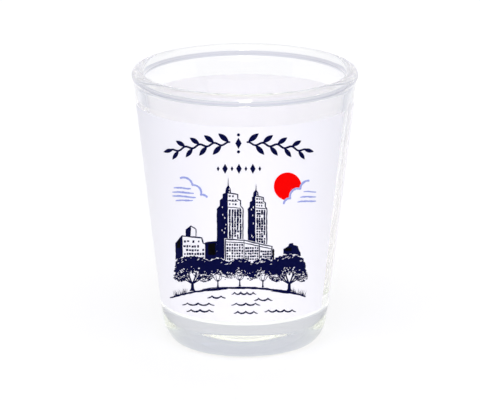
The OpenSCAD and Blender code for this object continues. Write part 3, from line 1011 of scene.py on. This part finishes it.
CREST_H = 0.42
RIPPLE_W = 0.34


def ripple_drawing(rnd):
    out = []
    for mid, height, length, crests in RIPPLES:
        n = crests * 10
        track = []
        for i in range(n + 1):
            t = i / n
            wave = abs(math.sin(math.pi * (t * crests + 0.5))) ** 0.7
            track.append((mid + length * (t - 0.5), height + CREST_H * (1 - wave)))
        out += ribbon(track, RIPPLE_W, 0.35, rnd)
    return out


# ---------------------------------------------------------------- making the object

GLASS = glass_material()
ENAMEL = ground_material()
NAVY = ink_material("navy_ink", linear(3, 7, 52), linear(9, 12, 62))
BLACK = ink_material("black_ink", linear(1, 1, 3), linear(9, 9, 12))
BLUE = ink_material("light_blue_ink", linear(150, 162, 222), linear(168, 178, 230))
RED = ink_material("red_ink", linear(252, 0, 0), linear(255, 2, 1))

glass = lathe("glass_body", glass_profile(), GLASS)
finish_piece(glass, "glass_tumbler")

ground = wall_sleeve(
    "enamel_ground", -GROUND_SINK, GROUND_T, GROUND_LOW, GROUND_HIGH,
    -90 + GROUND_RIGHT_EDGE + GROUND_GAP, -90 + GROUND_RIGHT_EDGE + 360, ENAMEL,
)
finish_piece(ground, "white_print_ground")


def navy(name, node, add, cut=()):
    ink_piece(name, NAVY, node, add, cut)


leaves, gaps = canopy_drawing(random.Random(21))
hidden = behind_trees()
behind = hidden + [podium_face(PODIUM_HALO)]
left_foot = PODIUM[1][1]
right_foot = PODIUM[3][1]
left_add, left_cut = tower(-5, -2.7, 0.6, left_foot, -1.2, 4.3, 5, 13, random.Random(3))
right_add, right_cut = tower(1.5, 3.1, 5.6, right_foot, -1.5, 3, 4, 14, random.Random(7))
shade = black_drawing(random.Random(13))
left_block = left_block_drawing(random.Random(9))
right_block = right_block_drawing(random.Random(10))
left_cloud = cloud_drawing(LEFT_BUMPS, LEFT_STREAKS, random.Random(11))
right_cloud = cloud_drawing(RIGHT_BUMPS, RIGHT_STREAKS, random.Random(12))

navy("ink_sprig", "sprig_print", sprig_drawing())
navy("ink_divider", "divider_print", divider_drawing())
ink_piece("ink_sun", RED, "red_sun_print", [dot(SUN_C, SUN_R, 96)], cloud_cover())
ink_piece("ink_left_cloud", BLUE, "left_cloud_print", left_cloud)
ink_piece("ink_right_cloud", BLUE, "right_cloud_print", right_cloud)
navy("ink_left_tower", "left_tower_print", left_add, left_cut + behind)
navy("ink_right_tower", "right_tower_print", right_add, right_cut + behind)
navy("ink_podium", "podium_print", podium_drawing(random.Random(8)), hidden)
navy("ink_left_block", "left_block_print", left_block, hidden + shade + left_add)
navy("ink_right_block", "right_block_print", right_block, hidden + shade)
ink_piece("ink_black_shade", BLACK, "black_shadow_print", shade, hidden)
navy("ink_tree_canopy", "tree_canopy_print", leaves, gaps)
navy("ink_tree_trunks", "tree_trunk_print", trunk_drawing(random.Random(14)), leaves)
navy("ink_shore", "shoreline_print", shore_drawing(random.Random(15)))
navy("ink_ripples", "lake_ripple_print", ripple_drawing(random.Random(16)))

# ---------------------------------------------------------------- floor, camera and light

FLOOR_HALF = 3.0
# a hair of air under the foot, so that light still gets out of the ring's flat face
FLOOR_DROP = 0.00003
bpy.ops.mesh.primitive_plane_add(size=2 * FLOOR_HALF, location=(0, 0, -FLOOR_DROP))
floor = bpy.context.object
floor.name = "studio_floor"
floor.data.materials.append(floor_material())

CAMERA_DISTANCE = 0.9
CAMERA_ELEVATION = math.radians(15.55)
IMAGE_W_MM = 102.92
SENSOR = 36.0
AIM = Vector((-0.00103, 0, 0.03093))

camera_data = bpy.data.cameras.new("camera")
camera = bpy.data.objects.new("camera", camera_data)
bpy.context.scene.collection.objects.link(camera)
bpy.context.scene.camera = camera
camera_data.sensor_width = SENSOR
camera_data.lens = SENSOR * CAMERA_DISTANCE / (IMAGE_W_MM * MM)
camera_data.clip_start = 0.01
camera.location = AIM + CAMERA_DISTANCE * Vector(
    (0, -math.cos(CAMERA_ELEVATION), math.sin(CAMERA_ELEVATION))
)
camera.rotation_euler = (AIM - camera.location).to_track_quat("-Z", "Y").to_euler()


def softbox(name, size, place, target, watts, colour):
    """A soft rectangular lamp, in metres, aimed at target."""
    data = bpy.data.lights.new(name, "AREA")
    data.shape = "RECTANGLE"
    data.size, data.size_y = size
    data.energy = watts
    data.color = colour
    lamp = bpy.data.objects.new(name, data)
    bpy.context.scene.collection.objects.link(lamp)
    lamp.location = place
    lamp.rotation_euler = (Vector(target) - Vector(place)).to_track_quat("-Z", "Y").to_euler()


softbox("key", (0.3, 0.2), (0, -1.253, 0.377), (0, 0, 0.03), 1.7, (1, 0.92, 0.75))


# Heights of the sky, 0 at the horizon and 1 overhead, over which one band turns into the next
LOW_TO_MID = (0.17, 0.42)
MID_TO_HIGH = (0.62, 0.87)


def studio_world(low, mid, high):
    """A white tent whose light changes with height, and from the front round to the back.

    low and mid are colours at the front, the sides and the back, near the horizon and above it.
    high is the colour overhead. The front is the camera's side, -Y.
    """
    world = bpy.data.worlds.new("studio")
    bpy.context.scene.world = world
    world.use_nodes = True
    tree = world.node_tree
    coords = tree.nodes.new("ShaderNodeTexCoord")
    level = tree.nodes.new("ShaderNodeVectorMath")
    level.operation = "MULTIPLY"
    level.inputs[1].default_value = (1, 1, 0)
    tree.links.new(coords.outputs["Generated"], level.inputs[0])
    heading = tree.nodes.new("ShaderNodeVectorMath")
    heading.operation = "NORMALIZE"
    tree.links.new(level.outputs["Vector"], heading.inputs[0])

    def part(vector, axis):
        split = tree.nodes.new("ShaderNodeSeparateXYZ")
        tree.links.new(vector, split.inputs["Vector"])
        return split.outputs[axis]

    def ease(value, a, b):
        node = tree.nodes.new("ShaderNodeMapRange")
        node.interpolation_type = "SMOOTHSTEP"
        node.inputs["From Min"].default_value = a
        node.inputs["From Max"].default_value = b
        tree.links.new(value, node.inputs["Value"])
        return node.outputs["Result"]

    to_back = part(heading.outputs["Vector"], "Y")
    rise = part(coords.outputs["Generated"], "Z")
    at_back = ease(to_back, 0, 1)
    at_side = ease(to_back, -1, 0)
    bands = []
    for front, side, back in (low, mid):
        near = blend_colours(tree, at_side, front, side)
        bands.append(blend_colours(tree, at_back, near, back))
    sky = blend_colours(tree, ease(rise, *LOW_TO_MID), *bands)
    sky = blend_colours(tree, ease(rise, *MID_TO_HIGH), sky, high)
    tree.links.new(sky, tree.nodes["Background"].inputs["Color"])
    tree.nodes["Background"].inputs["Strength"].default_value = 1


studio_world(
    ((0.22, 0.22, 0.24), (0.2, 0.21, 0.28), (0.7, 0.7, 0.77)),
    ((1.4, 1.43, 1.83), (0.84, 0.87, 0.79), (0.55, 0.57, 0.68)),
    (1.35, 1.32, 1.22),
)

scene = bpy.context.scene
scene.view_settings.view_transform = "Standard"
scene.cycles.max_bounces = 96
scene.cycles.diffuse_bounces = 64
scene.cycles.glossy_bounces = 64
scene.cycles.transmission_bounces = 96
scene.cycles.transparent_max_bounces = 16
scene.cycles.blur_glossy = 0
